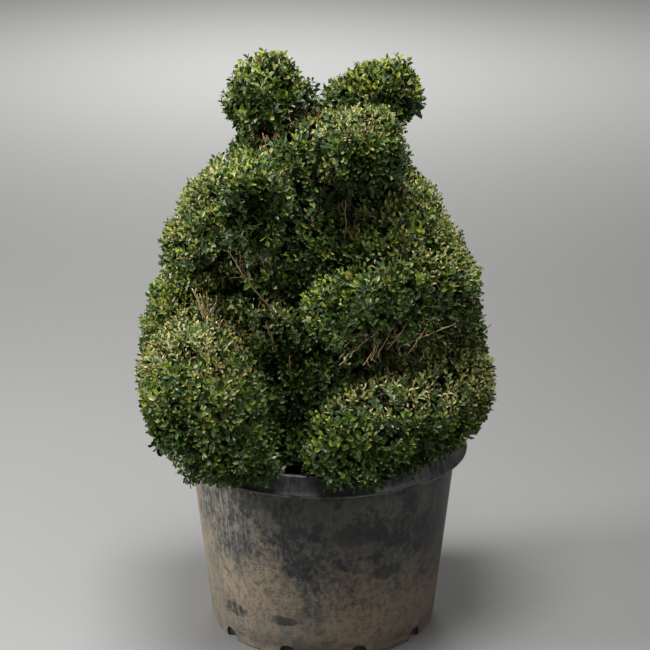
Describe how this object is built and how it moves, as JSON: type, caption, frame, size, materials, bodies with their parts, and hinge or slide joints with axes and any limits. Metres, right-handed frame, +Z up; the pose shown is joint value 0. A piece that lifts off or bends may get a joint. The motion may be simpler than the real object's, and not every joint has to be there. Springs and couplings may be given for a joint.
{
  "type": "potted boxwood bear topiary",
  "caption": "Clipped boxwood topiary in the shape of a sitting bear with one paw raised, in a round charcoal plastic nursery pot with a skirted rim.",
  "frame": {"origin": "centre of the pot's flat underside", "axes": "+Z up along the pot's axis; the bear faces -Y, and +X is the right side as seen from the front"},
  "size_m": [0.79, 0.6923, 1.3027],
  "materials": {
    "pot_plastic": "matte",
    "potting_soil": "matte",
    "bark": "matte",
    "foliage": "satin"
  },
  "bodies": {
    "root": {"pot": "pot_plastic", "soil": "potting_soil", "trunk": "bark", "bough_foot_left": "bark", "bough_leg_left": "bark", "bough_leg_right": "bark", "bough_hip_left": "bark", "bough_hip_right": "bark", "bough_shoulder_left": "bark", "bough_paw_left": "bark", "bough_shoulder_right": "bark", "bough_forearm_right": "bark", "bough_muzzle": "bark", "bough_ear_left": "bark", "bough_ear_right": "bark", "mass_ear_left": "foliage", "mass_ear_right": "foliage", "mass_muzzle": "foliage", "mass_paw_left": "foliage", "mass_forearm_right": "foliage", "mass_foot_left": "foliage", "mass_leg_right": "foliage", "mass_leg_left": "foliage", "mass_seat": "foliage", "mass_head": "foliage", "mass_shoulder_left": "foliage", "mass_shoulder_right": "foliage", "mass_hip_left": "foliage", "mass_hip_right": "foliage", "mass_chest": "foliage", "mass_belly": "foliage", "mass_back": "foliage"}
  },
  "joints": []
}
